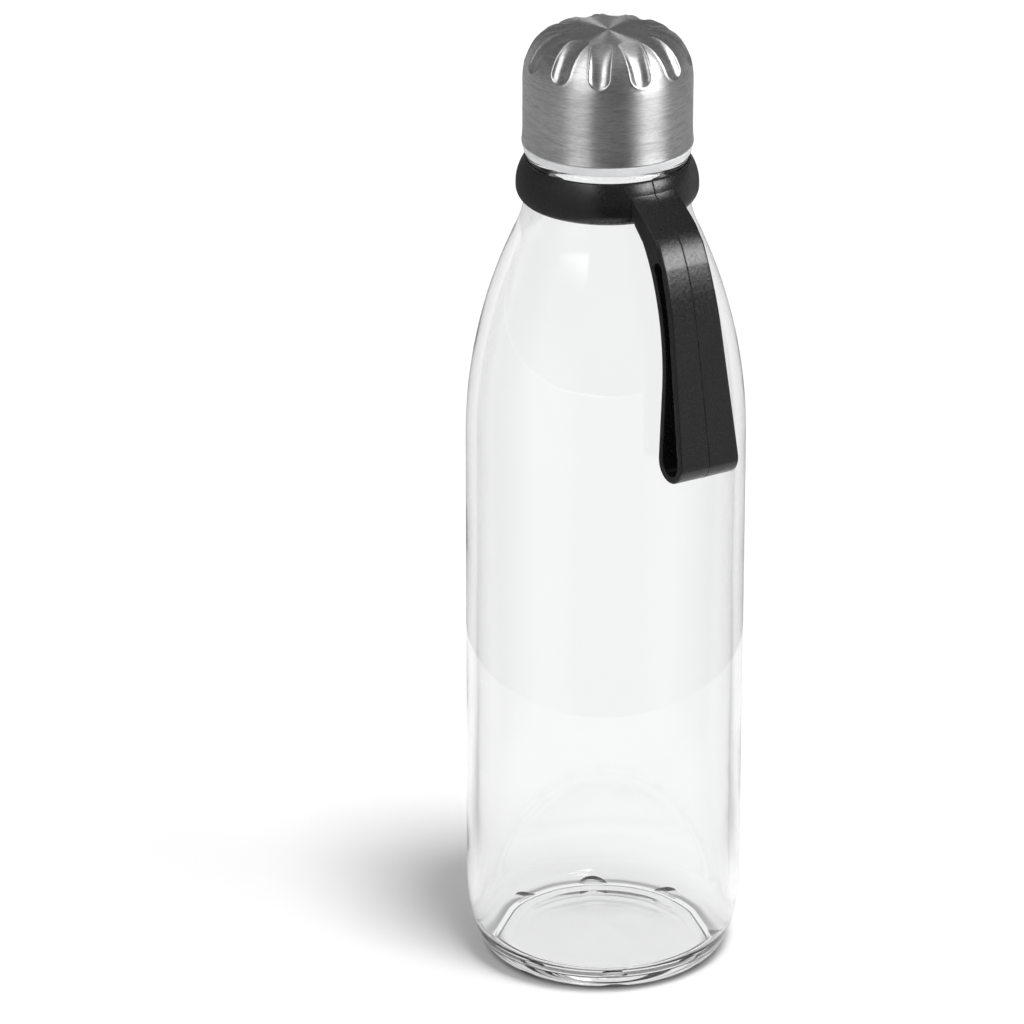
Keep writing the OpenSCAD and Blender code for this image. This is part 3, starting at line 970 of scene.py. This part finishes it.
def azimuth(nt, vector):
    """Degrees round the bottle from the photographer's side, positive to their right."""
    a = math.radians(PHOTO_AZ)
    parts = []
    for axis in ((math.cos(a), math.sin(a), 0), (math.sin(a), -math.cos(a), 0)):
        dot = node(nt, "ShaderNodeVectorMath", operation="DOT_PRODUCT")
        nt.links.new(vector, dot.inputs[0])
        dot.inputs[1].default_value = axis
        parts.append(dot.outputs["Value"])
    return calc(nt, "MULTIPLY", calc(nt, "ARCTAN2", *parts), math.degrees(1))


def sector(nt, angle, centre, half, edge, value):
    off = calc(nt, "ABSOLUTE", calc(nt, "SUBTRACT", angle, centre))
    return soft(nt, off, half - edge, half + edge, value, 0.0)


def low_level(nt, angle):
    """The studio at table height, in reflections: dim by the photographer, mid grey elsewhere, two windows."""
    base = soft(nt, calc(nt, "ABSOLUTE", angle), 20, 40, FRONT_DARK, SIDE_LEVEL)
    right = sector(nt, angle, RIGHT_AZ, RIGHT_HALF, 8, RIGHT_LOW)
    left = sector(nt, angle, LEFT_AZ, LEFT_HALF, 3, LEFT_LOW)
    return calc(nt, "ADD", calc(nt, "ADD", base, right), left)


def mix_value(nt, fac, a, b):
    n = node(nt, "ShaderNodeMix", data_type="FLOAT")
    nt.links.new(fac, n.inputs["Factor"])
    for key, v in (("A", a), ("B", b)):
        if isinstance(v, (int, float)):
            n.inputs[key].default_value = v
        else:
            nt.links.new(v, n.inputs[key])
    return n.outputs["Result"]


def studio_world():
    """Reflections see two windows and a grey room. Diffuse and transmitted light have their own levels."""
    world = bpy.data.worlds.new("studio")
    bpy.context.scene.world = world
    world.use_nodes = True
    nt = world.node_tree
    tc = node(nt, "ShaderNodeTexCoord")
    sep = node(nt, "ShaderNodeSeparateXYZ")
    nt.links.new(tc.outputs["Generated"], sep.inputs[0])
    up = sep.outputs["Z"]
    angle = azimuth(nt, tc.outputs["Generated"])
    rise = soft(nt, up, 0.05, 0.2, 0.0, 1.0)
    base = mix_value(nt, rise, low_level(nt, angle), BACK_LEVEL)
    base = mix_value(nt, soft(nt, up, 0.75, 0.95, 0.0, 1.0), base, TOP_LEVEL)
    window = calc(nt, "MULTIPLY", soft(nt, up, 0.30, 0.42, 0.0, 1.0), soft(nt, up, 0.59, 0.77, 1.0, 0.0))
    right = calc(nt, "MULTIPLY", window, sector(nt, angle, RIGHT_AZ, RIGHT_HALF, 6, RIGHT_HIGH))
    left = calc(nt, "MULTIPLY", soft(nt, up, 0.34, 0.5, 0.0, 1.0), soft(nt, up, 0.82, 0.92, 1.0, 0.0))
    left = calc(nt, "MULTIPLY", left, sector(nt, angle, LEFT_AZ, LEFT_HALF, 3, LEFT_HIGH))
    seen = calc(nt, "ADD", calc(nt, "ADD", base, right), left)
    through = soft(nt, calc(nt, "ABSOLUTE", angle), 70, 140, 0.35, 0.85)
    ray = node(nt, "ShaderNodeLightPath")
    level = mix_value(nt, ray.outputs["Is Transmission Ray"], seen, through)
    level = mix_value(nt, ray.outputs["Is Diffuse Ray"], level, AMBIENT)
    nt.nodes["Background"].inputs["Color"].default_value = (1, 1, 1, 1)
    nt.links.new(level, nt.nodes["Background"].inputs["Strength"])


def sun(az, el, strength, angle):
    light = bpy.data.lights.new("key", "SUN")
    light.energy = strength
    light.angle = math.radians(angle)
    ob = bpy.data.objects.new("key", light)
    ob.location = spot(az, el, 2.0)
    ob.rotation_euler = (Vector((0, 0, 0.12)) - ob.location).to_track_quat("-Z", "Y").to_euler()
    ob.visible_glossy = False
    bpy.context.scene.collection.objects.link(ob)


floor_plane()
grey_card()
sun(39, 75, 1.95, 15)
studio_world()

cam_data = bpy.data.cameras.new("camera")
cam_data.sensor_width = SENSOR_MM
cam_data.lens = LENS_MM
cam_data.clip_end = 50
cam = bpy.data.objects.new("camera", cam_data)
aim = math.radians(PHOTO_AZ)
el = math.radians(PHOTO_EL)
across = Vector((math.cos(aim), math.sin(aim), 0))
back = Vector((math.sin(aim) * math.cos(el), -math.cos(aim) * math.cos(el), math.sin(el)))
cam.location = -CAMERA_ASIDE * across + CAMERA_DISTANCE * back + Vector((0, 0, CAMERA_AIM_Z))
cam.rotation_euler = (math.radians(90) - el, 0, aim)
bpy.context.scene.collection.objects.link(cam)
bpy.context.scene.camera = cam
bpy.context.scene.view_settings.view_transform = "Standard"
